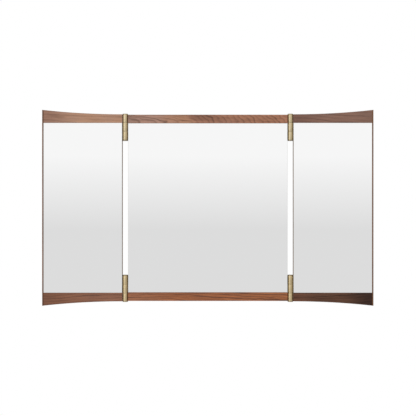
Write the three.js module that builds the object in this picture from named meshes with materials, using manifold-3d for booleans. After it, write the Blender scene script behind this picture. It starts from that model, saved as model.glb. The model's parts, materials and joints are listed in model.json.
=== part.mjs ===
// A wall mirror of three hinged panels: a fixed centre panel, and two wings that fold forward.
// Millimetres, +Z up. The front faces -Y, and the wall is the plane y = 0.
// The origin is the middle of the hanging strip's back face, which lies on the wall.
import * as THREE from "three";
import { mergeVertices } from "three/addons/utils/BufferGeometryUtils.js";
import Module from "manifold-3d";

// Panels
const centreWidth = 574;
const centreHeight = 670;
const wingWidth = 288;
const wingHeight = 673; // at the hinge side, where a wing is lowest
const wingRise = 16; // how far a wing's free corner rises past that, at the top and at the bottom
const panelDepth = 25;
const railHeight = 30.5; // a wing's rail measures this at the hinge side
const outerStileFace = 4.5; // the strip that edges a wing's free side
const edgeEase = 0.5; // chamfer along the edges of the rails and outer stiles

// Glass and backing boards
const glassThickness = 4;
const glassSetBack = 0.5; // from the rails' fronts
const glassInset = 0.5; // from a panel's hinge side
const glassArris = 0.4;
const boardThickness = 9;

// Stiles, ledges and tenons of the frames
const stileWidth = 18; // beside the board
const ledgeWidth = 12; // what stiles and rails reach behind the board
const tenonFromSide = 8;
const tenonWidth = 8;
const tenonThickness = 7;
const tenonLength = 18;

// Hinges
const barrelDiameter = 20;
const barrelLength = 97;
const barrelOverhang = 2; // past a wing's top or bottom edge
const barrelClearance = 0.5; // to the panels' side faces
const hingeSetBack = 8; // from the rails' fronts to the hinge axis
const knuckleCount = 3;
const knuckleSeam = 0.3;
const knuckleEase = 0.8;
const pinDiameter = 8;
const pinClearance = 0.15;
const pinHeadThickness = 2;
const pinTip = 1;
const leafThickness = 2.2;
const leafWidth = 15;
const leafEndMargin = 6; // from the barrel's end to the leaf's
const neckDepth = 5; // the web between a knuckle and its leaf
const leafScrewSpacing = 60;

// Countersunk screws, all of one size
const screwHeadDiameter = 6.6;
const screwShankDiameter = 3.5;
const screwLength = 16;
const screwTipLength = 4;
const screwSlotWidth = 1;
const screwSlotDepth = 0.9;

// Hanging strip with two keyholes, and the felt pad that matches it below
const stripThickness = 2;
const stripHeight = 26;
const stripEndMargin = 30; // from a keyhole to the strip's end
const stripCornerRadius = 4;
const keyholeSpacing = 400;
const keyholeHeadDiameter = 11;
const keyholeSlotWidth = 6;
const keyholeTravel = 9; // from the centre of the head hole up to that of the slot's end
const keyholePocketMargin = 1; // the pocket in the rail is this much wider, all round
const keyholePocketDepth = 8;
const stripScrewFromKeyhole = 15; // the outer screws
const stripScrewFromMiddle = 100; // the inner screws
const padLength = 460;
const padHeight = 14;
const padCornerRadius = 3;

const boardScrewInset = 130; // from the centre panel's side
const seat = 0.3; // between pieces that bear on each other or are glued together
const overshoot = 1; // how far a cutting tool runs past the face that it opens

// Flat facets round a curve
const barrelFacets = 30;
const screwFacets = 10;
const cornerFacets = 8;
const edgeArcFacets = 20;

// Planes of depth, from the wall forward
const panelBack = -(stripThickness + seat);
const panelFront = panelBack - panelDepth;
const glassFront = panelFront + glassSetBack;
const glassBack = glassFront + glassThickness;
const boardFront = glassBack + seat;
const boardBack = boardFront + boardThickness;
const ledgeFront = boardBack + seat;

// Heights, from the panels' mid-height
const centreEdge = centreHeight / 2;
const centreGlassEdge = centreEdge - railHeight;
const wingEdge = wingHeight / 2;
const wingGlassEdge = wingEdge - railHeight;
const stripMiddle = centreEdge - railHeight / 2;
const hingeMiddle = wingEdge + barrelOverhang - barrelLength / 2;

// Places across the width, on the right-hand side
const barrelRadius = barrelDiameter / 2;
const sideFace = barrelRadius + barrelClearance; // from a hinge axis to a panel's side
const centreSide = centreWidth / 2;
const hingeX = centreSide + sideFace;
const hingeY = panelFront + hingeSetBack;
const wingSide = hingeX + sideFace;
const wingFreeSide = wingSide + wingWidth;
const wingRailEnd = wingFreeSide - outerStileFace - seat;

// Hinge sizes, from the middle of the barrel
const pinBore = pinDiameter / 2 + pinClearance;
const knuckleLength = (barrelLength - pinHeadThickness - knuckleCount * knuckleSeam) / knuckleCount;
const leafEnd = barrelLength / 2 - leafEndMargin;
const leafScrewY = (neckDepth + leafWidth) / 2;
const leafScrewZ = leafScrewSpacing / 2;

// A wing's edge is an arc, level at the hinge side and rising towards the free side.
const arcRadius = (wingWidth ** 2 + wingRise ** 2) / (2 * wingRise);
const arcCentreHeight = wingEdge + arcRadius;
const arcHeight = (x) => arcCentreHeight - Math.sqrt(arcRadius ** 2 - (x - wingSide) ** 2);
const arcAngle = (x) => Math.asin((x - wingSide) / arcRadius) - Math.PI / 2;

const sides = [["left", -1], ["right", 1]];
const levels = [["upper", 1], ["lower", -1]];

const walnut = (color) => new THREE.MeshStandardMaterial({ color, roughness: 0.5, metalness: 0 });
const paleWalnut = walnut(0xa8826a);
const midWalnut = walnut(0x966850);
const warmWalnut = walnut(0x8f5c40);
const darkWalnut = walnut(0x5a3f33);
const brass = new THREE.MeshStandardMaterial({ color: 0xc1ac88, roughness: 0.35, metalness: 1 });
const steel = new THREE.MeshStandardMaterial({ color: 0xa9abae, roughness: 0.4, metalness: 1 });
const silvered = new THREE.MeshStandardMaterial({ color: 0xf2f4f4, roughness: 0.02, metalness: 1 });
const fibreboard = new THREE.MeshStandardMaterial({ color: 0x6e5a48, roughness: 0.8, metalness: 0 });
const felt = new THREE.MeshStandardMaterial({ color: 0x3a3530, roughness: 0.95, metalness: 0 });

const wasm = await Module();
wasm.setup();

// A closed geometry as a solid that can be joined and cut.
function solidOf(geometry) {
  const bare = geometry.clone();
  bare.deleteAttribute("normal");
  bare.deleteAttribute("uv");
  const merged = mergeVertices(bare);
  const vertProperties = merged.attributes.position.array;
  const triVerts = new Uint32Array(merged.index.array);
  return new wasm.Manifold(new wasm.Mesh({ numProp: 3, vertProperties, triVerts }));
}

function geometryOf(solid) {
  const { vertProperties, triVerts } = solid.getMesh();
  const geometry = new THREE.BufferGeometry();
  geometry.setAttribute("position", new THREE.BufferAttribute(vertProperties, 3));
  geometry.setIndex(new THREE.BufferAttribute(triVerts, 1));
  geometry.computeVertexNormals();
  return geometry;
}

function join(first, ...others) {
  return geometryOf(others.reduce((whole, piece) => whole.add(solidOf(piece)), solidOf(first)));
}

function cut(piece, ...tools) {
  return geometryOf(tools.reduce((rest, tool) => rest.subtract(solidOf(tool)), solidOf(piece)));
}

// A box between two opposite corners.
function block([x0, y0, z0], [x1, y1, z1]) {
  const geometry = new THREE.BoxGeometry(Math.abs(x1 - x0), Math.abs(y1 - y0), Math.abs(z1 - z0));
  return geometry.translate((x0 + x1) / 2, (y0 + y1) / 2, (z0 + z1) / 2);
}

// An outline drawn in X and Z, made solid between the planes y = front and y = back.
function slab(outline, front, back, ease = 0, curveSegments = cornerFacets) {
  const geometry = new THREE.ExtrudeGeometry(outline, {
    depth: back - front - 2 * ease,
    curveSegments,
    bevelEnabled: ease > 0,
    bevelThickness: ease,
    bevelSize: ease,
    bevelOffset: -ease,
    bevelSegments: 1,
  });
  return geometry.rotateX(Math.PI / 2).translate(0, back - ease, 0);
}

function rectangle(x0, z0, x1, z1) {
  const outline = new THREE.Shape();
  outline.moveTo(x0, z0);
  outline.lineTo(x1, z0);
  outline.lineTo(x1, z1);
  outline.lineTo(x0, z1);
  outline.closePath();
  return outline;
}

// A turned piece about the Y axis, from pairs of radius and height, the lowest first.
function turned(profile, facets) {
  const points = profile.map(([radius, height]) => new THREE.Vector2(radius, height));
  return new THREE.LatheGeometry(points, facets);
}

function named(name, geometry, material) {
  const piece = new THREE.Mesh(geometry, material);
  piece.name = name;
  return piece;
}

// A screw points along -Y, with the flat of its head on the plane y = 0.
function screwProfile(grow) {
  const head = screwHeadDiameter / 2 + grow;
  const shank = screwShankDiameter / 2 + grow;
  return [
    [0, -screwLength - grow],
    [shank, screwTipLength - screwLength - grow],
    [shank, shank - head],
    [head, 0],
  ];
}

function screwGeometry() {
  const body = turned([...screwProfile(0), [0, 0]], screwFacets);
  const slotLow = [-screwHeadDiameter, -screwSlotDepth, -screwSlotWidth / 2];
  const slotHigh = [screwHeadDiameter, overshoot, screwSlotWidth / 2];
  return cut(body, block(slotLow, slotHigh));
}

function screwHole(x, y, z) {
  const profile = screwProfile(seat);
  const [mouth] = profile.at(-1);
  return turned([...profile, [mouth, overshoot], [0, overshoot]], screwFacets).translate(x, y, z);
}

const screw = screwGeometry();

// The two holes of a leaf, sunk from the plane x = side towards `inward`.
function leafScrewHoles(side, inward, y, middle) {
  return [-leafScrewZ, leafScrewZ].map((z) => {
    const hole = screwHole(0, 0, 0).rotateZ((inward * Math.PI) / 2);
    return hole.translate(side, y, middle + z);
  });
}

// What a leaf takes out of the panel whose side is x = side and whose wood lies towards `inward`.
function leafRecess(side, inward, end) {
  const middle = end * hingeMiddle;
  const reach = leafEnd + seat;
  const floor = side + inward * (leafThickness + seat);
  const low = [side - inward * overshoot, hingeY - seat, middle - reach];
  const high = [floor, hingeY + leafWidth + seat, middle + reach];
  return [block(low, high), ...leafScrewHoles(side, inward, hingeY + leafScrewY, middle)];
}

// A tenon on a stile's end, or with `grow` its mortise in the rail.
function tenon(side, inward, edge, end, grow = 0) {
  const near = side + inward * (tenonFromSide - grow);
  const far = side + inward * (tenonFromSide + tenonWidth + grow);
  const middle = (boardFront + boardBack) / 2;
  const halfThickness = tenonThickness / 2 + grow;
  const root = end * (edge - overshoot);
  const tip = end * (edge + tenonLength + grow);
  return block([near, middle - halfThickness, root], [far, middle + halfThickness, tip]);
}

// A stile stands behind the glass, between the rails. The board lies on its ledge.
function stileGeometry(side, inward, edge) {
  const boardSide = side + inward * stileWidth;
  const ledgeSide = boardSide + inward * ledgeWidth;
  const section = new THREE.Shape();
  section.moveTo(side, boardFront);
  section.lineTo(boardSide, boardFront);
  section.lineTo(boardSide, ledgeFront);
  section.lineTo(ledgeSide, ledgeFront);
  section.lineTo(ledgeSide, panelBack);
  section.lineTo(side + inward * edgeEase, panelBack);
  section.lineTo(side, panelBack - edgeEase);
  section.closePath();
  const length = 2 * (edge - seat);
  const post = new THREE.ExtrudeGeometry(section, { depth: length, bevelEnabled: false });
  post.translate(0, 0, -length / 2);
  return join(post, tenon(side, inward, edge, 1), tenon(side, inward, edge, -1));
}

// A top rail is its bar, with a ledge behind the board from x0 to x1.
function railGeometry(outline, edge, x0, x1) {
  const bar = slab(outline, panelFront, panelBack, edgeEase, edgeArcFacets);
  const root = edge + edgeEase + overshoot;
  return join(bar, block([x0, ledgeFront, edge - ledgeWidth], [x1, panelBack, root]));
}

function boardGeometry(x0, x1, edge) {
  const reach = edge - seat;
  return block([x0, boardFront, -reach], [x1, boardBack, reach]);
}

function glassGeometry(x0, x1, edge) {
  const reach = edge - seat;
  return slab(rectangle(x0, -reach, x1, reach), glassFront, glassBack, glassArris);
}

function boardScrew(name, x, edge, end) {
  const piece = named(name, screw, steel);
  piece.position.set(x, panelBack, end * (edge - ledgeWidth / 2));
  return piece;
}

function boardScrewHole(x, edge, end) {
  return screwHole(x, panelBack, end * (edge - ledgeWidth / 2));
}

const keyholeHead = keyholeHeadDiameter / 2;
const keyholeSlot = keyholeSlotWidth / 2;
const headZ = stripMiddle - (keyholeTravel + keyholeSlot - keyholeHead) / 2;

// The head hole at the bottom, and the slot above it.
function keyholeOutline(x) {
  const half = Math.asin(keyholeSlot / keyholeHead);
  const outline = new THREE.Shape();
  outline.absarc(x, headZ, keyholeHead, Math.PI / 2 - half, Math.PI / 2 + half, true);
  outline.absarc(x, headZ + keyholeTravel, keyholeSlot, Math.PI, 0, true);
  outline.closePath();
  return outline;
}

// Room behind the strip for the head of a wall screw, along its whole travel.
function keyholePocket(x) {
  const radius = keyholeHead + keyholePocketMargin;
  const outline = new THREE.Shape();
  outline.absarc(x, headZ, radius, 0, Math.PI, true);
  outline.absarc(x, headZ + keyholeTravel, radius, Math.PI, 0, true);
  outline.closePath();
  return slab(outline, panelBack - keyholePocketDepth, panelBack + overshoot);
}

const keyholes = [-keyholeSpacing / 2, keyholeSpacing / 2];
const stripEnd = keyholeSpacing / 2 + stripEndMargin;
const stripScrews = [
  ["outer", keyholeSpacing / 2 + stripScrewFromKeyhole],
  ["inner", stripScrewFromMiddle],
];

function roundedOutline(reach, low, high, radius) {
  const outline = new THREE.Shape();
  outline.absarc(reach - radius, low + radius, radius, -Math.PI / 2, 0, false);
  outline.absarc(reach - radius, high - radius, radius, 0, Math.PI / 2, false);
  outline.absarc(radius - reach, high - radius, radius, Math.PI / 2, Math.PI, false);
  outline.absarc(radius - reach, low + radius, radius, Math.PI, (3 * Math.PI) / 2, false);
  outline.closePath();
  return outline;
}

const stripScrewHoles = () =>
  sides.flatMap(([, side]) => stripScrews.map(([, x]) => screwHole(side * x, 0, stripMiddle)));

function hangingStrip() {
  const group = new THREE.Group();
  const half = stripHeight / 2;
  const outline = roundedOutline(stripEnd, stripMiddle - half, stripMiddle + half, stripCornerRadius);
  const tools = keyholes.map((x) => slab(keyholeOutline(x), -stripThickness - overshoot, overshoot));
  const strip = cut(slab(outline, -stripThickness, 0), ...tools, ...stripScrewHoles());
  group.add(named("hanging_strip", strip, steel));
  for (const [word, side] of sides) {
    for (const [place, x] of stripScrews) {
      const piece = named(`hanging_strip_screw_${word}_${place}`, screw, steel);
      piece.position.set(side * x, 0, stripMiddle);
      group.add(piece);
    }
  }
  return group;
}

// A felt pad holds the bottom rail as far off the wall as the strip holds the top rail.
function wallPad() {
  const half = padHeight / 2;
  const outline = roundedOutline(padLength / 2, -stripMiddle - half, -stripMiddle + half, padCornerRadius);
  return named("wall_pad", slab(outline, -stripThickness, 0), felt);
}

function centrePanel() {
  const group = new THREE.Group();
  const edge = centreGlassEdge;
  const ledgeEnd = centreSide - stileWidth - ledgeWidth - seat;
  const boardEnd = centreSide - stileWidth - seat;
  const glassEnd = centreSide - glassInset;
  const screwX = centreSide - boardScrewInset;
  const outline = rectangle(-centreSide, edge, centreSide, centreEdge);
  const plain = railGeometry(outline, edge, -ledgeEnd, ledgeEnd);
  const shared = [-1, 1].flatMap((side) => [
    ...leafRecess(side * centreSide, -side, 1),
    tenon(side * centreSide, -side, edge, 1, seat),
    boardScrewHole(side * screwX, edge, 1),
  ]);
  const rail = cut(plain, ...shared);
  const topRail = cut(rail, ...keyholes.map(keyholePocket), ...stripScrewHoles());
  group.add(named("centre_top_rail", topRail, midWalnut));
  const bottomRail = named("centre_bottom_rail", rail, warmWalnut);
  bottomRail.scale.z = -1;
  group.add(bottomRail);

  const recesses = [...leafRecess(centreSide, -1, 1), ...leafRecess(centreSide, -1, -1)];
  const stile = cut(stileGeometry(centreSide, -1, edge), ...recesses);
  for (const [word, side] of sides) {
    const piece = named(`centre_${word}_stile`, stile, midWalnut);
    piece.scale.x = side;
    group.add(piece);
  }

  const holes = [-1, 1].flatMap((side) => [-1, 1].map((end) => boardScrewHole(side * screwX, edge, end)));
  const board = cut(boardGeometry(-boardEnd, boardEnd, edge), ...holes);
  group.add(named("centre_backing_board", board, fibreboard));
  group.add(named("centre_mirror_glass", glassGeometry(-glassEnd, glassEnd, edge), silvered));
  for (const [level, end] of levels) {
    for (const [word, side] of sides) {
      group.add(boardScrew(`centre_board_screw_${level}_${word}`, side * screwX, edge, end));
    }
  }
  return group;
}

// The right-hand wing. The left-hand one is its mirror image.
function wing(word, side, topWood, bottomWood) {
  const group = new THREE.Group();
  group.scale.x = side;
  const name = (piece) => `${word}_wing_${piece}`;
  const edge = wingGlassEdge;
  const middle = (wingSide + wingFreeSide) / 2;
  const ledgeReach = stileWidth + ledgeWidth + seat;

  const outline = new THREE.Shape();
  outline.absarc(wingSide, arcCentreHeight, arcRadius, -Math.PI / 2, arcAngle(wingRailEnd), false);
  outline.lineTo(wingRailEnd, edge);
  outline.lineTo(wingSide, edge);
  outline.closePath();
  const rail = cut(
    railGeometry(outline, edge, wingSide + ledgeReach, wingFreeSide - ledgeReach),
    ...leafRecess(wingSide, 1, 1),
    tenon(wingSide, 1, edge, 1, seat),
    tenon(wingFreeSide, -1, edge, 1, seat),
    boardScrewHole(middle, edge, 1),
  );
  group.add(named(name("top_rail"), rail, topWood));
  const bottomRail = named(name("bottom_rail"), rail, bottomWood);
  bottomRail.scale.z = -1;
  group.add(bottomRail);

  const recesses = [...leafRecess(wingSide, 1, 1), ...leafRecess(wingSide, 1, -1)];
  group.add(named(name("inner_stile"), cut(stileGeometry(wingSide, 1, edge), ...recesses), topWood));

  // The outer stile's face runs the wing's whole height, past the ends of the rails.
  const faceSide = wingFreeSide - outerStileFace;
  const face = new THREE.Shape();
  face.moveTo(faceSide, -arcHeight(faceSide));
  face.lineTo(wingFreeSide, -arcHeight(wingFreeSide));
  face.lineTo(wingFreeSide, arcHeight(wingFreeSide));
  face.lineTo(faceSide, arcHeight(faceSide));
  face.closePath();
  const outerStile = join(
    slab(face, panelFront, panelBack, edgeEase),
    stileGeometry(wingFreeSide, -1, edge),
  );
  group.add(named(name("outer_stile"), outerStile, bottomWood));

  const board = boardGeometry(wingSide + stileWidth + seat, wingFreeSide - stileWidth - seat, edge);
  const holes = [-1, 1].map((end) => boardScrewHole(middle, edge, end));
  group.add(named(name("backing_board"), cut(board, ...holes), fibreboard));
  group.add(named(name("mirror_glass"), glassGeometry(wingSide + glassInset, wingRailEnd, edge), silvered));
  for (const [level, end] of levels) {
    group.add(boardScrew(name(`board_screw_${level}`), middle, edge, end));
  }
  return group;
}

// One knuckle of the barrel, counted from the outer end, with the web to its leaf.
function knuckle(index, toLeaf) {
  const high = barrelLength / 2 - index * (knuckleLength + knuckleSeam);
  const low = high - knuckleLength;
  const profile = [
    [pinBore, low],
    [barrelRadius - knuckleEase, low],
    [barrelRadius, low + knuckleEase],
    [barrelRadius, high - knuckleEase],
    [barrelRadius - knuckleEase, high],
    [pinBore, high],
    [pinBore, low],
  ];
  const ring = turned(profile, barrelFacets).rotateX(Math.PI / 2);
  const root = toLeaf * ((pinBore + barrelRadius) / 2);
  const tip = toLeaf * (sideFace + leafThickness / 2);
  const web = block([root, 0, Math.max(low, -leafEnd)], [tip, neckDepth, Math.min(high, leafEnd)]);
  return join(ring, web);
}

function leafGeometry(indices, toLeaf) {
  const face = toLeaf * sideFace;
  const plate = block([face, 0, -leafEnd], [face + toLeaf * leafThickness, leafWidth, leafEnd]);
  const leaf = join(plate, ...indices.map((index) => knuckle(index, toLeaf)));
  return cut(leaf, ...leafScrewHoles(face, toLeaf, leafScrewY, 0));
}

// The pin is pressed home from the barrel's inner end, where its head is.
function pinGeometry() {
  const end = barrelLength / 2;
  const radius = pinDiameter / 2;
  const profile = [
    [0, -end],
    [barrelRadius - knuckleEase, -end],
    [barrelRadius, knuckleEase - end],
    [barrelRadius, pinHeadThickness - end],
    [radius, pinHeadThickness - end],
    [radius, end - seat - pinTip],
    [radius - pinTip, end - seat],
    [0, end - seat],
  ];
  return turned(profile, barrelFacets).rotateX(Math.PI / 2);
}

// Four hinges alike, drawn as the upper one on the right-hand side and mirrored to the others.
function hinges() {
  const group = new THREE.Group();
  const knuckles = Array.from({ length: knuckleCount }, (_, index) => index);
  const leaves = [
    ["centre", -1, leafGeometry(knuckles.filter((index) => index % 2 === 0), -1)],
    ["wing", 1, leafGeometry(knuckles.filter((index) => index % 2 === 1), 1)],
  ];
  const pin = pinGeometry();
  for (const [word, side] of sides) {
    for (const [level, end] of levels) {
      const hinge = new THREE.Group();
      const name = (piece) => `${word}_${level}_hinge_${piece}`;
      hinge.position.set(side * hingeX, hingeY, end * hingeMiddle);
      hinge.scale.set(side, 1, end);
      hinge.add(named(name("pin"), pin, brass));
      for (const [panel, toLeaf, leaf] of leaves) {
        hinge.add(named(name(`${panel}_leaf`), leaf, brass));
        for (const [place, z] of [["outer", leafScrewZ], ["inner", -leafScrewZ]]) {
          const piece = named(name(`${panel}_screw_${place}`), screw, brass);
          piece.position.set(toLeaf * sideFace, leafScrewY, z);
          piece.rotation.z = (toLeaf * Math.PI) / 2;
          hinge.add(piece);
        }
      }
      group.add(hinge);
    }
  }
  return group;
}

const mirror = new THREE.Group();
mirror.add(centrePanel());
mirror.add(wing("left", -1, paleWalnut, warmWalnut));
mirror.add(wing("right", 1, midWalnut, darkWalnut));
mirror.add(hinges());
mirror.add(hangingStrip());
mirror.add(wallPad());
mirror.position.z = -stripMiddle;

export default mirror;
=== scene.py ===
import json
import math

import bmesh
import bpy
from mathutils import Matrix, Vector


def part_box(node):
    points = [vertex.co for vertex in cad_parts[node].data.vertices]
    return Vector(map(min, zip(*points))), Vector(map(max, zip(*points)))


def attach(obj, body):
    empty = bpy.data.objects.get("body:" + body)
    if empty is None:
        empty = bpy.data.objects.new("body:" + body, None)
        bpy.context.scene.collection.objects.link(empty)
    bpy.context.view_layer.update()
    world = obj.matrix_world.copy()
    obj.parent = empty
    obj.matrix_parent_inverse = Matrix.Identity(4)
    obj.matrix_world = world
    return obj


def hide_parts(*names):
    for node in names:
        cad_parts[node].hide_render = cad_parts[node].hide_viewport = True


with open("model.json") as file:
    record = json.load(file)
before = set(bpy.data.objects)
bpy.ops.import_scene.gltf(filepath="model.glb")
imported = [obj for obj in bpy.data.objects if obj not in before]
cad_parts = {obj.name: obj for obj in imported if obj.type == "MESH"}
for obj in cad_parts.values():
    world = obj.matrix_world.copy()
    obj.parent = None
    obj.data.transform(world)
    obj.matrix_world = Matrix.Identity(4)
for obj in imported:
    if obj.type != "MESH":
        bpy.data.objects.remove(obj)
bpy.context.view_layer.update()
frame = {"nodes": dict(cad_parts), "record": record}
cadNodes = frame["nodes"]
sides = {"left": -1, "right": 1}
levels = {"upper": 1, "lower": -1}
# the first word of a panel's nodes, and its body
panels = {"centre": "centre_panel", "left_wing": "left_wing", "right_wing": "right_wing"}
print("frame loaded:", len(cadNodes), "nodes")

view = {
    "middle": (0.0, -0.0273, -0.31975),  # of the panels' fronts
    "distance": 3.0,
    "sensor": 36,
    "pixels": 416,
    "pixelSize": 0.003597,  # in metres, at that distance
    "nudge": (0.0007, -0.0007),  # the mirror stands a little left of and above the picture's middle
}


def addCamera():
    data = bpy.data.cameras.new("camera")
    data.sensor_width = view["sensor"]
    data.lens = view["sensor"] * view["distance"] / (view["pixels"] * view["pixelSize"])
    camera = bpy.data.objects.new("camera", data)
    x, y, z = view["middle"]
    camera.location = (x + view["nudge"][0], y - view["distance"], z + view["nudge"][1])
    camera.rotation_euler = (math.pi / 2, 0, 0)
    bpy.context.scene.collection.objects.link(camera)
    bpy.context.scene.camera = camera


addCamera()


def addNode(tree, kind, **settings):
    node = tree.nodes.new(kind)
    for key, value in settings.items():
        setattr(node, key, value)
    return node


def feed(tree, socket, value):
    # an input takes another node's output, a colour or a number
    if hasattr(value, "is_linked"):
        tree.links.new(value, socket)
    elif isinstance(value, tuple):
        socket.default_value = (*value, 1)
    else:
        socket.default_value = value


def ramp(tree, value, stops, interpolation="LINEAR"):
    node = addNode(tree, "ShaderNodeValToRGB")
    tree.links.new(value, node.inputs[0])
    line = node.color_ramp
    line.interpolation = interpolation
    line.elements.remove(line.elements[1])
    line.elements[0].position = stops[0][0]
    for place, _ in stops[1:]:
        line.elements.new(place)
    for element, (_, color) in zip(line.elements, stops):
        element.color = (*color, 1) if isinstance(color, tuple) else (color, color, color, 1)
    return node.outputs["Color"]


def mathNode(tree, operation, *values):
    node = addNode(tree, "ShaderNodeMath", operation=operation)
    for socket, value in zip(node.inputs, values):
        feed(tree, socket, value)
    return node.outputs[0]


def plus(tree, first, second):
    return mathNode(tree, "ADD", first, second)


def minus(tree, first, second):
    return mathNode(tree, "SUBTRACT", first, second)


def times(tree, first, second):
    return mathNode(tree, "MULTIPLY", first, second)


def over(tree, first, second):
    return mathNode(tree, "DIVIDE", first, second)


def timesPlus(tree, first, second, third):
    return mathNode(tree, "MULTIPLY_ADD", first, second, third)


def larger(tree, first, second):
    return mathNode(tree, "MAXIMUM", first, second)


def positive(tree, value):
    return mathNode(tree, "ABSOLUTE", value)


def mixColor(tree, factor, first, second, blend="MIX"):
    node = addNode(tree, "ShaderNodeMix", data_type="RGBA", blend_type=blend, clamp_result=False)
    for index, value in ((0, factor), (6, first), (7, second)):
        feed(tree, node.inputs[index], value)
    return node.outputs[2]


def mixShaders(tree, factor, first, second):
    node = addNode(tree, "ShaderNodeMixShader")
    for socket, value in zip(node.inputs, (factor, first, second)):
        tree.links.new(value, socket)
    return node.outputs[0]


def objectPlace(tree):
    return addNode(tree, "ShaderNodeTexCoord").outputs["Object"]


def splitAxes(tree, vector):
    node = addNode(tree, "ShaderNodeSeparateXYZ")
    tree.links.new(vector, node.inputs[0])
    return node.outputs


def joinAxes(tree, x=None, y=None, z=None):
    node = addNode(tree, "ShaderNodeCombineXYZ")
    for socket, value in zip(node.inputs, (x, y, z)):
        if value is not None:
            tree.links.new(value, socket)
    return node.outputs[0]


def vectorLength(tree, vector):
    node = addNode(tree, "ShaderNodeVectorMath", operation="LENGTH")
    tree.links.new(vector, node.inputs[0])
    return node.outputs["Value"]


def noise(tree, vector, scale, detail=2, roughness=0.5):
    node = addNode(tree, "ShaderNodeTexNoise")
    tree.links.new(vector, node.inputs["Vector"])
    node.inputs["Scale"].default_value = scale
    node.inputs["Detail"].default_value = detail
    node.inputs["Roughness"].default_value = roughness
    return node.outputs["Fac"]


def stretched(tree, vector, scale, offset=(0, 0, 0)):
    node = addNode(tree, "ShaderNodeMapping")
    tree.links.new(vector, node.inputs["Vector"])
    node.inputs["Location"].default_value = offset
    node.inputs["Scale"].default_value = scale
    return node.outputs["Vector"]


def span(tree, value, low, high, lowTo=0.0, highTo=1.0, smooth=False):
    kind = "SMOOTHSTEP" if smooth else "LINEAR"
    node = addNode(tree, "ShaderNodeMapRange", interpolation_type=kind)
    tree.links.new(value, node.inputs["Value"])
    for name, number in (("From Min", low), ("From Max", high), ("To Min", lowTo), ("To Max", highTo)):
        node.inputs[name].default_value = number
    return node.outputs["Result"]


def swing(tree, value, lowTo, highTo):
    # noise keeps mostly between these two values
    return span(tree, value, 0.3, 0.7, lowTo, highTo)


def linear(red, green, blue):
    # a tone given as 0 to 255, as the shader wants it
    tone = [part / 255 for part in (red, green, blue)]
    return tuple(part / 12.92 if part <= 0.04045 else ((part + 0.055) / 1.055) ** 2.4 for part in tone)


studio = {
    "diffuse": 0.72,
    "white": (1.0, 1.0, 1.0),
    "glassBelow": 0.755,  # what a mirror shows below the horizon, and above it
    "glassAbove": 0.972,
    "horizon": (-0.0255, 0.0615),  # heights of a direction between which one turns into the other
    # what metal shows by direction, from the far left to the far right, 1 being the plain tone
    "sweep": [
        (0.0, (0.52, 0.46, 0.36)),
        (0.07, (0.64, 0.60, 0.52)),
        (0.2, (0.89, 0.88, 0.86)),
        (0.39, (1.0, 1.0, 1.0)),
        (0.61, (1.0, 1.0, 1.0)),
        (0.74, (0.88, 0.86, 0.82)),
        (0.88, (0.76, 0.73, 0.67)),
        (1.0, (0.50, 0.42, 0.31)),
    ],
    "behind": 0.7,  # how bright the side towards the wall is against the room
    "sideways": (-0.1, 0.4),  # depths of a direction between which the room turns into that side
}
lamps = {
    "key": {"shape": "SQUARE", "size": 2.0, "power": 26, "place": (-2.2, -3.2, 1.7)},
    # a tall soft light for the gleam along the brass
    "strip": {
        "shape": "RECTANGLE", "size": 1.3, "height": 3.0, "power": 11, "place": (-2.5, -2.5, -0.32),
    },
}
brassPieces = bpy.data.collections.new("brass_pieces")  # the only ones that the tall light reaches


def background(tree, color, strength):
    node = addNode(tree, "ShaderNodeBackground")
    feed(tree, node.inputs["Color"], color)
    feed(tree, node.inputs["Strength"], strength)
    return node.outputs[0]


def colorWorld():
    world = bpy.data.worlds.new("studio")
    bpy.context.scene.world = world
    world.use_nodes = True
    tree = world.node_tree
    tree.nodes.clear()
    x, y, z = splitAxes(tree, addNode(tree, "ShaderNodeTexCoord").outputs["Generated"])
    height = span(tree, z, *studio["horizon"], studio["glassBelow"], studio["glassAbove"])
    height = times(tree, height, span(tree, y, *studio["sideways"], 1.0, studio["behind"]))
    sweep = ramp(tree, span(tree, x, -1, 1), studio["sweep"], "EASE")
    rays = addNode(tree, "ShaderNodeLightPath").outputs
    seen = larger(tree, rays["Is Camera Ray"], rays["Is Transmission Ray"])
    plain = background(tree, studio["white"], 1)
    mirrored = background(tree, sweep, height)
    soft = background(tree, studio["white"], studio["diffuse"])
    unseen = mixShaders(tree, rays["Is Glossy Ray"], soft, mirrored)
    surface = mixShaders(tree, seen, unseen, plain)
    tree.links.new(surface, addNode(tree, "ShaderNodeOutputWorld").inputs["Surface"])


def addLamp(name):
    settings = lamps[name]
    data = bpy.data.lights.new(name, "AREA")
    data.shape = settings["shape"]
    data.size = settings["size"]
    data.size_y = settings.get("height", settings["size"])
    data.energy = settings["power"]
    lamp = bpy.data.objects.new(name, data)
    lamp.location = settings["place"]
    aim = Vector(view["middle"]) - lamp.location
    lamp.rotation_euler = aim.to_track_quat("-Z", "Y").to_euler()
    bpy.context.scene.collection.objects.link(lamp)
    return lamp


colorWorld()
addLamp("key").visible_glossy = False  # the mirrors would show its square
addLamp("strip").light_linking.receiver_collection = brassPieces
bpy.context.scene.view_settings.view_transform = "Standard"


def plainMaterial(name, roughness, metallic=0.0):
    material = bpy.data.materials.new(name)
    material.use_nodes = True
    shader = material.node_tree.nodes["Principled BSDF"]
    shader.inputs["Roughness"].default_value = roughness
    shader.inputs["Metallic"].default_value = metallic
    return material, material.node_tree, shader


def addBump(tree, shader, height, strength, distance):
    bump = addNode(tree, "ShaderNodeBump")
    bump.inputs["Strength"].default_value = strength
    bump.inputs["Distance"].default_value = distance
    tree.links.new(height, bump.inputs["Height"])
    tree.links.new(bump.outputs["Normal"], shader.inputs["Normal"])


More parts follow.
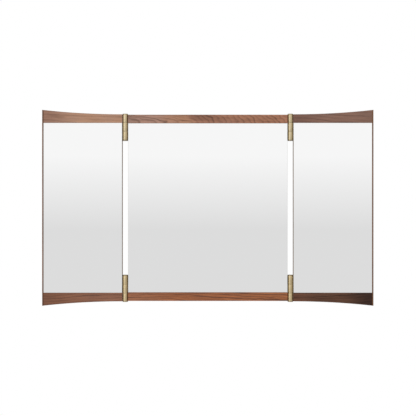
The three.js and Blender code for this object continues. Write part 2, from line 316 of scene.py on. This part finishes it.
floorLook = {
    "height": -1.5,
    "radius": 1.6,
    "segments": 96,
    "tone": (0.90, 0.90, 0.90),
    "toneLight": (0.93, 0.93, 0.93),
    "grit": 40,
    "roughness": 0.8,
    "fade": (0.35, 0.95),  # shares of the radius between which the floor turns white
}


def floorMaterial():
    material, tree, shader = plainMaterial("pale_floor", floorLook["roughness"])
    shader.inputs["Specular IOR Level"].default_value = 0.0
    place = objectPlace(tree)
    grit = noise(tree, place, floorLook["grit"], 3)
    color = mixColor(tree, grit, floorLook["tone"], floorLook["toneLight"])
    tree.links.new(color, shader.inputs["Base Color"])
    # towards its rim the floor fades into the white around it
    away = vectorLength(tree, stretched(tree, place, (1, 1, 0)))
    near, far = (share * floorLook["radius"] for share in floorLook["fade"])
    fade = span(tree, away, near, far, smooth=True)
    rays = addNode(tree, "ShaderNodeLightPath").outputs
    seen = larger(tree, rays["Is Camera Ray"], rays["Is Glossy Ray"])
    seen = larger(tree, seen, rays["Is Transmission Ray"])
    white = addNode(tree, "ShaderNodeEmission")
    white.inputs["Strength"].default_value = 1
    faded = mixShaders(tree, times(tree, fade, seen), shader.outputs[0], white.outputs[0])
    # from below, the floor doesn't hide what stands above it
    below = addNode(tree, "ShaderNodeNewGeometry").outputs["Backfacing"]
    clear = addNode(tree, "ShaderNodeBsdfTransparent").outputs[0]
    surface = mixShaders(tree, below, faded, clear)
    tree.links.new(surface, tree.nodes["Material Output"].inputs["Surface"])
    return material


def layFloor():
    work = bmesh.new()
    segments, radius = floorLook["segments"], floorLook["radius"]
    bmesh.ops.create_circle(work, cap_ends=True, segments=segments, radius=radius)
    bmesh.ops.translate(work, verts=work.verts, vec=(0, 0, floorLook["height"]))
    mesh = bpy.data.meshes.new("floor")
    work.to_mesh(mesh)
    work.free()
    floor = bpy.data.objects.new("floor", mesh)
    bpy.context.scene.collection.objects.link(floor)
    mesh.materials.append(floorMaterial())


layFloor()
print("studio lit")


walnutLook = {
    "roughness": (0.40, 0.52),
    "specular": 0.5,
    "gloss": 0.022,  # what the satin surface adds to each tone
    "figure": 0.9,  # the share of a tone that the figure leaves on average
    "cool": (0.95, 0.985, 1.05),  # tint of the purplish zones
    "coolSpan": (0.45, 0.65),
    "lineDark": 0.55,  # how much a growth line darkens the wood
    "lineEven": 0.35,  # the share of that which the wood between the lines gets back
    "lineShape": [(0.0, 0.4), (0.12, 0.0), (0.55, 0.15), (0.82, 1.0), (0.92, 1.0), (1.0, 0.4)],
    "lineWeights": (0.3, 1.0),  # of the faintest line and of the strongest
    "mottles": {"fibre": 0.30, "streak": 0.34, "broad": 0.22},  # and how much each darkens the wood
    "poreDark": 0.40,
    "poreSpan": (0.62, 0.72),
    "poreDepth": 0.8,
    "darkest": 0.1,
    "powers": (0.9, 1.0, 1.08),  # of red, green and blue, so that darker wood is also redder
    "bump": (0.25, 0.0003),
    # each noise: its scale along the grain and across it, its detail and its roughness
    "noises": {
        "wander": (5, 18, 3, 0.5),
        "ripple": (22, 60, 2, 0.5),
        "sway": (28, 45, 1, 0.5),
        "fibre": (7, 330, 3, 0.6),
        "streak": (13, 150, 2, 0.5),
        "broad": (6, 35, 2, 0.5),
        "speck": (90, 1500, 2, 0.5),
        "zone": (9, 40, 2, 0.5),
    },
    "wander": 0.030,  # how far, in metres, the growth lines stray
    "ripple": 0.006,
    "patchRipple": 0.012,
    "patchFray": 0.35,
    "patchRim": (0.2, 1.3),
}

# Each board: its tones along its length in metres, the spacing of its growth lines, where the heart
# of the tree lay, measured from the board's middle as (depth, across), and how it runs off.
# A patch is (along, across, half its length, half its height, slant, how much it darkens).
boards = {
    "left_wing_top_rail": {
        "tones": [(-0.59, (149, 113, 96)), (-0.45, (179, 138, 113)), (-0.32, (177, 136, 111))],
        "spacing": 0.0085, "heart": (0.06, -0.11), "runOff": 0.045, "seed": 3.0, "contrast": 0.6,
        "patches": [
            (-0.545, 0.011, 0.035, 0.007, -0.15, 0.25), (-0.470, 0.013, 0.03, 0.003, -0.10, 0.20),
        ],
    },
    "left_wing_bottom_rail": {
        "tones": [(-0.59, (122, 82, 63)), (-0.45, (136, 93, 73)), (-0.32, (137, 94, 74))],
        "spacing": 0.0075, "heart": (0.05, 0.12), "runOff": -0.06, "seed": 11.0, "contrast": 0.95,
    },
    "centre_top_rail": {
        "tones": [
            (-0.29, (143, 113, 99)), (-0.22, (164, 126, 108)), (-0.07, (164, 121, 96)),
            (-0.04, (140, 99, 81)), (0.16, (157, 110, 87)),
        ],
        "spacing": 0.008, "heart": (0.05, 0.10), "runOff": 0.10, "seed": 23.0, "contrast": 1.25,
        "arches": {
            "nose": -0.055, "before": 0.045, "past": 0.021, "below": 0.014, "shift": 0.3, "first": 40.0,
            "curve": (3400, 1500), "turning": (-0.12, -0.03), "wobble": 0.35, "boost": (1.15, 1.0),
        },
        "lean": 0.7,
        "patches": [
            (-0.066, 0.000, 0.020, 0.005, -0.45, -0.24), (-0.165, 0.000, 0.050, 0.0025, -0.04, 0.30),
            (-0.105, -0.007, 0.040, 0.002, 0.03, 0.26), (-0.235, 0.006, 0.030, 0.0025, -0.10, 0.22),
        ],
    },
    "centre_bottom_rail": {
        "tones": [
            (-0.28, (150, 98, 71)), (-0.05, (143, 88, 59)), (0.12, (154, 96, 64)), (0.28, (154, 96, 63)),
        ],
        "spacing": 0.0065, "heart": (0.05, 0.09), "runOff": 0.05, "seed": 31.0, "contrast": 1.5,
        "patches": [
            (0.040, -0.003, 0.030, 0.005, -0.35, 0.22), (0.075, 0.004, 0.018, 0.004, -0.5, 0.08),
            (-0.165, -0.010, 0.045, 0.004, 0.10, 0.20), (0.235, 0.002, 0.018, 0.006, 0.6, 0.12),
        ],
    },
    "right_wing_top_rail": {
        "tones": [(0.31, (122, 89, 76)), (0.45, (135, 102, 88)), (0.59, (131, 100, 86))],
        "spacing": 0.008, "heart": (0.06, 0.12), "runOff": 0.07, "seed": 43.0, "contrast": 0.75,
    },
    "right_wing_bottom_rail": {
        "tones": [(0.31, (97, 65, 50)), (0.44, (93, 65, 51)), (0.59, (60, 42, 35))],
        "spacing": 0.007, "heart": (0.05, 0.10), "runOff": -0.05, "seed": 57.0, "contrast": 1.5,
        "specular": 0.2,
    },
}
railMiddles = {"_top_": 0.0, "_bottom_": -0.6395}
# the stiles beside the gaps are lighter than the outer ones, partly as paler wood and partly as painted
# light for those narrow shaded gaps
stiles = {
    "left_wing_outer_stile": {"tone": (111, 78, 58), "middle": -0.594, "seed": 61.0},
    "left_wing_inner_stile": {"tone": (156, 131, 114), "middle": -0.32, "seed": 67.0},
    "centre_left_stile": {"tone": (140, 110, 91), "middle": -0.27, "seed": 71.0},
    "centre_right_stile": {"tone": (138, 108, 89), "middle": 0.27, "seed": 79.0},
    "right_wing_inner_stile": {"tone": (152, 127, 110), "middle": 0.32, "seed": 83.0},
    "right_wing_outer_stile": {"tone": (113, 80, 60), "middle": 0.594, "seed": 89.0},
}
stileLook = {"upright": True, "spacing": 0.006, "heart": (0.08, 0.06), "runOff": 0.03}
stileFoot = -0.64
stileTopLight = 4  # painted light and shade: how many levels of 255 a stile gains towards its top, darker low down


def archedRings(tree, along, across, shift, sway, arches):
    # nested arches point right, flat before the nose and steep past it
    beside = minus(tree, along, arches["nose"])
    past = over(tree, larger(tree, beside, 0.0), arches["past"])
    before = over(tree, mathNode(tree, "MINIMUM", beside, 0.0), arches["before"])
    rise = plus(tree, timesPlus(tree, shift, arches["shift"], across), arches["below"])
    curve = span(tree, along, *arches["turning"], *arches["curve"], smooth=True)
    rise = times(tree, mathNode(tree, "POWER", positive(tree, rise), 2.0), curve)
    sway = swing(tree, sway, -arches["wobble"], arches["wobble"])
    rings = plus(tree, plus(tree, past, before), plus(tree, rise, sway))
    return plus(tree, rings, arches["first"])


def heartRings(tree, along, across, depth, shift, board):
    # rings about the tree's heart, which runs a little aslant to the board
    drift = timesPlus(tree, along, board["runOff"], shift)
    depthIn, acrossIn = board["heart"]
    depth = minus(tree, depth, depthIn)
    across = plus(tree, minus(tree, across, acrossIn), drift)
    return over(tree, vectorLength(tree, joinAxes(tree, y=depth, z=across)), board["spacing"])


def patchShade(tree, along, across, ripple, fibre, patch):
    # a patch is a long spot whose rim the ripple and the fibre fray
    middle, height, halfLength, halfHeight, slant, depth = patch
    stray = walnutLook["patchRipple"]
    sideways = minus(tree, along, middle)
    upwards = timesPlus(tree, sideways, -slant, minus(tree, across, height))
    upwards = timesPlus(tree, ripple, stray, minus(tree, upwards, stray / 2))
    spot = joinAxes(tree, over(tree, sideways, halfLength), over(tree, upwards, halfHeight))
    fray = swing(tree, fibre, -walnutLook["patchFray"], walnutLook["patchFray"])
    frayed = plus(tree, vectorLength(tree, spot), fray)
    return span(tree, frayed, *walnutLook["patchRim"], -depth, 0.0, smooth=True)


def boardTone(tree, along, across, shift, board, specular):
    gloss = walnutLook["gloss"] * specular / walnutLook["specular"]
    figure = walnutLook["figure"]
    first, last = board["tones"][0][0], board["tones"][-1][0]
    stops = [
        ((stop - first) / (last - first), tuple((part - gloss) / figure for part in linear(*tone)))
        for stop, tone in board["tones"]
    ]
    lean = board.get("lean", 0.0)
    leaning = timesPlus(tree, across, lean, along)
    leaning = timesPlus(tree, shift, lean * 2, leaning)
    return ramp(tree, span(tree, leaning, first, last), stops, "EASE")


def walnut(name, board):
    material, tree, shader = plainMaterial(name, walnutLook["roughness"][0])
    specular = board.get("specular", walnutLook["specular"])
    shader.inputs["Specular IOR Level"].default_value = specular
    x, depth, z = splitAxes(tree, objectPlace(tree))
    along, across = (z, x) if "upright" in board else (x, z)
    across = minus(tree, across, board["middle"])
    grain = joinAxes(tree, along, depth, across)

    def figure(kind, apart=0):
        lengthwise, crosswise, detail, roughness = walnutLook["noises"][kind]
        seed = tuple(board["seed"] * share + apart for share in (1.0, 0.37, 0.71))
        spread = stretched(tree, grain, (lengthwise, crosswise, crosswise), seed)
        return noise(tree, spread, 1.0, detail, roughness)

    ripple = figure("ripple")
    shift = timesPlus(tree, figure("wander"), walnutLook["wander"], -walnutLook["wander"] / 2)
    shift = timesPlus(tree, ripple, walnutLook["ripple"], shift)
    if "arches" in board:
        arches = board["arches"]
        rings = archedRings(tree, along, across, shift, figure("sway"), arches)
    else:
        rings = heartRings(tree, along, across, depth, shift, board)
    line = ramp(tree, mathNode(tree, "FRACT", rings), walnutLook["lineShape"])
    chance = addNode(tree, "ShaderNodeTexWhiteNoise", noise_dimensions="1D")
    tree.links.new(mathNode(tree, "FLOOR", rings), chance.inputs["W"])
    line = times(tree, line, span(tree, chance.outputs["Value"], 0, 1, *walnutLook["lineWeights"]))
    if "arches" in board:
        line = times(tree, line, span(tree, along, *arches["turning"], *arches["boost"], smooth=True))

    tone = boardTone(tree, along, across, shift, board, specular)
    tinted = mixColor(tree, 1.0, tone, walnutLook["cool"], "MULTIPLY")
    zone = span(tree, figure("zone", 5), *walnutLook["coolSpan"], smooth=True)
    tone = mixColor(tree, zone, tone, tinted)

    dark = walnutLook["lineDark"]
    shade = timesPlus(tree, line, -dark, 1.0 + walnutLook["lineEven"] * dark)
    mottles = {kind: figure(kind) for kind in walnutLook["mottles"]}
    for kind, darkening in walnutLook["mottles"].items():
        shade = plus(tree, shade, swing(tree, mottles[kind], darkening / 2, -darkening / 2))
    shade = timesPlus(tree, minus(tree, shade, 1.0), board.get("contrast", 1.0), 1.0)
    fibre = mottles["fibre"]
    for patch in board.get("patches", []):
        shade = plus(tree, shade, patchShade(tree, along, across, ripple, fibre, patch))
    pore = span(tree, figure("speck"), *walnutLook["poreSpan"], smooth=True)
    shade = timesPlus(tree, pore, -walnutLook["poreDark"], shade)
    shade = larger(tree, shade, walnutLook["darkest"])
    shading = addNode(tree, "ShaderNodeCombineColor")
    for socket, power in zip(shading.inputs, walnutLook["powers"]):
        tree.links.new(mathNode(tree, "POWER", shade, power), socket)
    color = mixColor(tree, 1.0, tone, shading.outputs[0], "MULTIPLY")
    tree.links.new(color, shader.inputs["Base Color"])
    tree.links.new(swing(tree, fibre, *walnutLook["roughness"]), shader.inputs["Roughness"])
    addBump(tree, shader, timesPlus(tree, pore, -walnutLook["poreDepth"], fibre), *walnutLook["bump"])
    return material


def dress(node, material):
    mesh = cadNodes[node].data
    mesh.materials.clear()
    mesh.materials.append(material)


for node, board in boards.items():
    middle = next(middle for level, middle in railMiddles.items() if level in node)
    dress(node, walnut(node + "_walnut", {**board, "middle": middle}))
for node, stile in stiles.items():
    # painted shade: each stile is painted lighter at its top than at its foot
    litTop = tuple(part + stileTopLight for part in stile["tone"])
    tones = [(stileFoot, stile["tone"]), (0.0, litTop)]
    dress(node, walnut(node + "_walnut", {**stileLook, **stile, "tones": tones}))
print("walnut boards dressed")


def makePiece(work, name, body, slot, replaces, materials, smoothAngle=35):
    bmesh.ops.recalc_face_normals(work, faces=work.faces)
    mesh = bpy.data.meshes.new(name)
    work.to_mesh(mesh)
    work.free()
    for material in materials:
        mesh.materials.append(material)
    for face in mesh.polygons:
        face.use_smooth = True
    mesh.set_sharp_from_angle(angle=math.radians(smoothAngle))
    piece = bpy.data.objects.new(name, mesh)
    bpy.context.scene.collection.objects.link(piece)
    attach(piece, body)
    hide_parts(*replaces)
    if slot == "brass":
        brassPieces.objects.link(piece)


def bevelEdges(work, edges, rounding, segments):
    bmesh.ops.bevel(
        work, geom=edges, offset=rounding, offset_type="OFFSET", segments=segments,
        profile=0.5, affect="EDGES", material=-1, clamp_overlap=True,
    )


def addBlock(work, low, high, rounding=0.0):
    made = bmesh.ops.create_cube(work, size=1)["verts"]
    size = [top - bottom for bottom, top in zip(low, high)]
    bmesh.ops.scale(work, verts=made, vec=size)
    bmesh.ops.translate(work, verts=made, vec=[(bottom + top) / 2 for bottom, top in zip(low, high)])
    if rounding:
        bevelEdges(work, list({edge for vert in made for edge in vert.link_edges}), rounding, 2)


glass = {
    "arris": 0.0005,
    "facing": 0.99,  # how squarely the front and the back look out
    "smoothAngle": 20,
    "silver": (0.950, 0.951, 0.951),
    "dulling": 0.998,  # a faint unevenness in the silver, too weak to bend what it shows
    "haze": 6.0,
    "silverRoughness": (0.008, 0.016),
    "edge": (0.54, 0.55, 0.49),
    "edgeLight": (0.66, 0.67, 0.61),
    "edgeStreak": (300, 900, 300),
    "edgeRoughness": 0.15,
    "polish": (0.5, 0.05),  # weight and roughness of the edge's coat
    "paint": (0.16, 0.17, 0.17),
    "paintLight": (0.2, 0.21, 0.21),
    "paintMottle": 60.0,
    "paintRoughness": 0.55,
}


def silverMaterial():
    low, high = glass["silverRoughness"]
    material, tree, shader = plainMaterial("silvered_glass", (low + high) / 2, 1.0)
    haze = noise(tree, objectPlace(tree), glass["haze"])
    dull = tuple(part * glass["dulling"] for part in glass["silver"])
    tree.links.new(mixColor(tree, haze, dull, glass["silver"]), shader.inputs["Base Color"])
    tree.links.new(swing(tree, haze, low, high), shader.inputs["Roughness"])
    return material


def glassEdgeMaterial():
    material, tree, shader = plainMaterial("polished_glass_edge", glass["edgeRoughness"])
    streak = noise(tree, stretched(tree, objectPlace(tree), glass["edgeStreak"]), 1.0)
    color = mixColor(tree, streak, glass["edge"], glass["edgeLight"])
    tree.links.new(color, shader.inputs["Base Color"])
    for name, value in zip(("Coat Weight", "Coat Roughness"), glass["polish"]):
        shader.inputs[name].default_value = value
    return material


def backPaintMaterial():
    material, tree, shader = plainMaterial("mirror_back_paint", glass["paintRoughness"])
    mottle = noise(tree, objectPlace(tree), glass["paintMottle"], 3)
    color = mixColor(tree, mottle, glass["paint"], glass["paintLight"])
    tree.links.new(color, shader.inputs["Base Color"])
    return material


glassFinishes = [silverMaterial(), glassEdgeMaterial(), backPaintMaterial()]
for panel, body in panels.items():
    node = panel + "_mirror_glass"
    work = bmesh.new()
    addBlock(work, *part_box(node), glass["arris"])
    work.normal_update()
    for face in work.faces:
        front, back = face.normal.y < -glass["facing"], face.normal.y > glass["facing"]
        face.material_index = 0 if front else 2 if back else 1
    name = panel + "_silvered_glass"
    makePiece(work, name, body, "mirror_glass", [node], glassFinishes, glass["smoothAngle"])
print("mirror glass laid")


hinge = {
    "radius": 0.010,
    "length": 0.097,
    "axis": (0.2975, -0.0193),  # beside the middle, and in depth
    "middle": {"upper": -0.02975, "lower": -0.60975},
    "steps": 64,
    "headThickness": 0.002,
    "seam": 0.0003,
    "knuckles": 3,
    "rounding": 0.0008,
    "roundingSteps": 4,
    "bore": 0.00415,
    "pin": 0.004,
    "pinSunk": 0.0003,  # below the barrel's end
    "pinTip": 0.001,
    "sideFace": 0.0105,  # from the axis to the side of a panel
    "leafThickness": 0.0022,
    "leafWidth": 0.015,
    "leafEnd": 0.0425,
    "leafEase": 0.0003,
    "webDepth": 0.005,
    "webInset": 0.0002,
}
brassLook = {
    "tone": (0.665, 0.56, 0.37),
    "toneDull": (0.59, 0.485, 0.295),
    "toneLowShade": (0.64, 0.51, 0.30),  # painted shade: the lower hinges are a little darker and yellower
    "lowShadeSpan": (-0.56, -0.08, 0.8, 0.0),  # heights, and the share of that tone at each
    "dull": 0.8,
    "patina": (60, 60, 25),
    "patinaSpan": (0.35, 0.7),
    "rim": (0.0018, 0.0042, 0.55),  # how far from an end the painted shade starts and stops, and its depth
    "endShadeTone": (0.16, 0.12, 0.07),
    "fleck": 900.0,
    "fleckSpan": (0.66, 0.74),
    "fleckDepth": 0.35,
    "fleckTone": (0.30, 0.22, 0.11),
    "brushing": (2500, 2500, 60),
    "roughness": (0.20, 0.30),
    "bump": (0.06, 0.0001),
}


def brassMaterial():
    material, tree, shader = plainMaterial("satin_brass", sum(brassLook["roughness"]) / 2, 1.0)
    place = objectPlace(tree)
    brushed = noise(tree, stretched(tree, place, brassLook["brushing"]), 1.0)
    patina = noise(tree, stretched(tree, place, brassLook["patina"]), 1.0, 3, 0.6)
    worn = span(tree, patina, *brassLook["patinaSpan"], smooth=True)
    height = splitAxes(tree, place)["Z"]
    worn = times(tree, worn, brassLook["dull"])
    color = mixColor(tree, worn, brassLook["tone"], brassLook["toneDull"])
    # painted shade: the lower hinges take the darker, yellower tone
    color = mixColor(tree, span(tree, height, *brassLook["lowShadeSpan"]), color, brassLook["toneLowShade"])
    # painted shade: a dark band at both ends of each barrel
    upper, lower = hinge["middle"]["upper"], hinge["middle"]["lower"]
    beside = positive(tree, minus(tree, height, (upper + lower) / 2))
    beside = positive(tree, minus(tree, beside, (upper - lower) / 2))
    start, stop, depth = brassLook["rim"]
    end = hinge["length"] / 2
    endShade = span(tree, beside, end - stop, end - start, 0.0, depth, smooth=True)
    color = mixColor(tree, endShade, color, brassLook["endShadeTone"])
    fleck = span(tree, noise(tree, place, brassLook["fleck"]), *brassLook["fleckSpan"], smooth=True)
    color = mixColor(tree, times(tree, fleck, brassLook["fleckDepth"]), color, brassLook["fleckTone"])
    tree.links.new(color, shader.inputs["Base Color"])
    tree.links.new(span(tree, brushed, 0.25, 0.75, *brassLook["roughness"]), shader.inputs["Roughness"])
    addBump(tree, shader, brushed, *brassLook["bump"])
    return material


def spinProfile(work, profile):
    # pairs of radius and height, turned once about the upright axis
    before = set(work.verts)
    rim = [work.verts.new((radius, 0, height)) for radius, height in profile]
    edges = [work.edges.new(pair) for pair in zip(rim, rim[1:])]
    bmesh.ops.spin(
        work, geom=rim + edges, axis=(0, 0, 1), cent=(0, 0, 0), steps=hinge["steps"],
        angle=2 * math.pi, use_merge=True, use_duplicate=False,
    )
    made = [vert for vert in work.verts if vert not in before]
    bmesh.ops.remove_doubles(work, verts=made, dist=1e-7)


def roundedEnd(height, towards):
    # the points of a quarter round at a barrel's end, from its side to its face
    points = []
    rounding = hinge["rounding"]
    for step in range(hinge["roundingSteps"] + 1):
        turn = step / hinge["roundingSteps"] * math.pi / 2
        points.append((
            hinge["radius"] - rounding + rounding * math.cos(turn),
            height + towards * (rounding * math.sin(turn) - rounding),
        ))
    return points


def knuckleProfile(low, high):
    bore = hinge["bore"]
    return [(bore, low), *reversed(roundedEnd(low, -1)), *roundedEnd(high, 1), (bore, high), (bore, low)]


brass = brassMaterial()


def placeOnHinge(work, word, level):
    x, y = hinge["axis"]
    bmesh.ops.scale(work, verts=work.verts, vec=(sides[word], 1, levels[level]))
    bmesh.ops.translate(work, verts=work.verts, vec=(sides[word] * x, y, hinge["middle"][level]))


def makeLeaf(word, level, panel, toLeaf, picks):
    work = bmesh.new()
    leafEnd, inset = hinge["leafEnd"], hinge["webInset"]
    share = (hinge["length"] - hinge["headThickness"]) / hinge["knuckles"]
    near = hinge["sideFace"]
    far = near + hinge["leafThickness"]
    low, high = sorted((toLeaf * near, toLeaf * far))
    addBlock(work, (low, 0, -leafEnd), (high, hinge["leafWidth"], leafEnd), hinge["leafEase"])
    for index in picks:
        top = hinge["length"] / 2 - index * share
        bottom = top - share + hinge["seam"]
        spinProfile(work, knuckleProfile(bottom, top))
        low, high = sorted((toLeaf * (hinge["bore"] + hinge["radius"]) / 2, toLeaf * (near + far) / 2))
        webLow = (low, inset, max(bottom, -leafEnd) + inset)
        webHigh = (high, hinge["webDepth"], min(top, leafEnd) - inset)
        addBlock(work, webLow, webHigh)
    placeOnHinge(work, word, level)
    body = "centre_panel" if panel == "centre" else word + "_wing"
    name = f"{word}_{level}_{panel}_brass_leaf"
    makePiece(work, name, body, "brass", [f"{word}_{level}_hinge_{panel}_leaf"], [brass])


def makePin(word, level):
    work = bmesh.new()
    end = hinge["length"] / 2
    head = hinge["headThickness"] - end
    pin, tip, sunkEnd = hinge["pin"], hinge["pinTip"], end - hinge["pinSunk"]
    profile = [(0, -end), *reversed(roundedEnd(-end, -1)), (hinge["radius"], head), (pin, head)]
    profile += [(pin, sunkEnd - tip), (pin - tip, sunkEnd), (0, sunkEnd)]
    spinProfile(work, profile)
    placeOnHinge(work, word, level)
    name = f"{word}_{level}_brass_pin"
    makePiece(work, name, "centre_panel", "brass", [f"{word}_{level}_hinge_pin"], [brass])


for word in sides:
    for level in levels:
        makeLeaf(word, level, "centre", -1, (0, 2))
        makeLeaf(word, level, "wing", 1, (1,))
        makePin(word, level)
print("hinges made")


screw = {
    "head": 0.0033,
    "shank": 0.00175,
    "length": 0.016,
    "tip": 0.004,
    "tipNarrow": 0.02,
    "tipMerge": 0.0002,
    "slot": 0.001,
    "slotDepth": 0.0009,
    "steps": 32,
}


def growRing(work, edges):
    # open edges grow into new faces, and the new rim is returned as points and edges
    grown = bmesh.ops.extrude_edge_only(work, edges=edges)["geom"]
    ring = [item for item in grown if isinstance(item, bmesh.types.BMVert)]
    sides = [item for item in grown if isinstance(item, bmesh.types.BMEdge)]
    return ring, [edge for edge in sides if all(vert in ring for vert in edge.verts)]


def cutSlot(work, before):
    # two cuts across the head's flat, and the strip between them pushed in
    def findFlat():
        return [
            face for face in work.faces
            if face.verts[0] not in before and all(abs(vert.co.z) < 1e-7 for vert in face.verts)
        ]

    half = screw["slot"] / 2
    for offset in (-half, half):
        flat = findFlat()
        around = {item for face in flat for item in (*face.edges, *face.verts)}
        bmesh.ops.bisect_plane(
            work, geom=flat + list(around), dist=1e-7, plane_co=(0, offset, 0), plane_no=(0, 1, 0),
        )
    middle = [face for face in findFlat() if abs(face.calc_center_median().y) < half]
    pushed = bmesh.ops.extrude_face_region(work, geom=middle)["geom"]
    floor = [item for item in pushed if isinstance(item, bmesh.types.BMVert)]
    bmesh.ops.translate(work, verts=floor, vec=(0, 0, -screw["slotDepth"]))
    bmesh.ops.delete(work, geom=[face for face in middle if face.is_valid], context="FACES_ONLY")


def addScrew(work, place, facing):
    # a slotted countersunk screw whose head's flat lies at `place` and looks along `facing`
    before = set(work.verts)
    head, shank, tip = screw["head"], screw["shank"], screw["tip"]
    sink = head - shank
    circle = bmesh.ops.create_circle(work, cap_ends=True, segments=screw["steps"], radius=head)["verts"]
    ring, loop = growRing(work, list({edge for vert in circle for edge in vert.link_edges}))
    bmesh.ops.scale(work, verts=ring, vec=(shank / head, shank / head, 1))
    bmesh.ops.translate(work, verts=ring, vec=(0, 0, -sink))
    ring, loop = growRing(work, loop)
    bmesh.ops.translate(work, verts=ring, vec=(0, 0, tip + sink - screw["length"]))
    ring, loop = growRing(work, loop)
    bmesh.ops.scale(work, verts=ring, vec=(screw["tipNarrow"], screw["tipNarrow"], 1))
    bmesh.ops.translate(work, verts=ring, vec=(0, 0, -tip))
    bmesh.ops.remove_doubles(work, verts=ring, dist=screw["tipMerge"])
    cutSlot(work, before)
    made = [vert for vert in work.verts if vert not in before]
    turn = Vector((0, 0, 1)).rotation_difference(Vector(facing)).to_matrix().to_4x4()
    bmesh.ops.transform(work, matrix=Matrix.Translation(place) @ turn, verts=made)


def screwFace(node, axis, towards):
    low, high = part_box(node)
    place = (low + high) / 2
    place[axis] = (high if towards > 0 else low)[axis]
    return place


steelLook = {
    "tone": (0.47, 0.475, 0.48),
    "toneDull": (0.36, 0.365, 0.37),
    "cloud": 35.0,
    "cloudSpan": (0.35, 0.7),
    "brushing": (30, 2000, 2000),
    "roughness": (0.26, 0.40),
    "bump": (0.08, 0.0001),
}


def steelMaterial():
    material, tree, shader = plainMaterial("zinc_plated_steel", sum(steelLook["roughness"]) / 2, 1.0)
    place = objectPlace(tree)
    brushed = noise(tree, stretched(tree, place, steelLook["brushing"]), 1.0)
    cloud = span(tree, noise(tree, place, steelLook["cloud"], 3), *steelLook["cloudSpan"], smooth=True)
    color = mixColor(tree, cloud, steelLook["tone"], steelLook["toneDull"])
    tree.links.new(color, shader.inputs["Base Color"])
    tree.links.new(span(tree, brushed, 0.25, 0.75, *steelLook["roughness"]), shader.inputs["Roughness"])
    addBump(tree, shader, brushed, *steelLook["bump"])
    return material


steel = steelMaterial()
dress("hanging_strip", steel)

bodies = frame["record"]["behaviour"]["bodies"]
for node in sorted(cadNodes):
    if "screw" not in node:
        continue
    onLeaf = "_hinge_" in node
    axis, towards = 1, 1
    if onLeaf:
        axis = 0
        towards = sides[node.split("_")[0]] * (1 if "_centre_" in node else -1)
    facing = [0, 0, 0]
    facing[axis] = towards
    work = bmesh.new()
    addScrew(work, screwFace(node, axis, towards), facing)
    body = next(body for body, members in bodies.items() if node in members)
    slot, finish = ("brass", brass) if onLeaf else ("steel_hardware", steel)
    makePiece(work, node.replace("screw", "slotted_screw"), body, slot, [node], [finish])
print("screws made")


boardLook = {
    "tone": (92, 75, 60),
    "toneDark": (78, 62, 49),
    "cloud": 9.0,
    "fleck": 700.0,
    "fleckShade": (0.88, 1.1),
    "roughness": 0.7,
    "bump": (0.12, 0.0003),
}


def boardMaterial():
    material, tree, shader = plainMaterial("stained_fibreboard", boardLook["roughness"])
    place = objectPlace(tree)
    cloud = noise(tree, place, boardLook["cloud"], 3)
    fleck = noise(tree, place, boardLook["fleck"], 3, 0.7)
    color = mixColor(tree, cloud, linear(*boardLook["tone"]), linear(*boardLook["toneDark"]))
    shade = swing(tree, fleck, *boardLook["fleckShade"])
    shading = addNode(tree, "ShaderNodeCombineColor")
    for socket in shading.inputs:
        tree.links.new(shade, socket)
    color = mixColor(tree, 1.0, color, shading.outputs[0], "MULTIPLY")
    tree.links.new(color, shader.inputs["Base Color"])
    addBump(tree, shader, fleck, *boardLook["bump"])
    return material


fibreboard = boardMaterial()
for panel in panels:
    dress(panel + "_backing_board", fibreboard)

felt = {
    "corner": 0.003,
    "cornerSteps": 8,
    "rounding": 0.0006,
    "roundingSteps": 3,
    "rimAngle": 60,  # edges sharper than this are the rims of the two faces
    "smoothAngle": 50,
    "tone": (60, 55, 50),
    "toneLight": (78, 72, 66),
    "wool": (900.0, 0.6),  # how fine, and its share
    "tuft": (160.0, 0.4),
    "roughness": 0.95,
    "sheen": (0.4, 0.5),
    "bump": (0.6, 0.0005),
}


def feltMaterial():
    material, tree, shader = plainMaterial("wool_felt", felt["roughness"])
    place = objectPlace(tree)
    (woolScale, woolShare), (tuftScale, tuftShare) = felt["wool"], felt["tuft"]
    wool = times(tree, noise(tree, place, woolScale, 4, 0.7), woolShare)
    both = timesPlus(tree, noise(tree, place, tuftScale), tuftShare, wool)
    tones = (linear(*felt["tone"]), linear(*felt["toneLight"]))
    tree.links.new(mixColor(tree, span(tree, both, 0.35, 0.65), *tones), shader.inputs["Base Color"])
    for name, value in zip(("Sheen Weight", "Sheen Roughness"), felt["sheen"]):
        shader.inputs[name].default_value = value
    addBump(tree, shader, both, *felt["bump"])
    return material


def makePad():
    work = bmesh.new()
    addBlock(work, *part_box("wall_pad"))
    corners = [edge for edge in work.edges if abs((edge.verts[0].co - edge.verts[1].co).y) > 1e-6]
    bevelEdges(work, corners, felt["corner"], felt["cornerSteps"])
    rim = [edge for edge in work.edges if edge.calc_face_angle(0) > math.radians(felt["rimAngle"])]
    bevelEdges(work, rim, felt["rounding"], felt["roundingSteps"])
    finishes = [feltMaterial()]
    makePiece(work, "felt_wall_pad", "centre_panel", "felt", ["wall_pad"], finishes, felt["smoothAngle"])


makePad()
print("back finished")
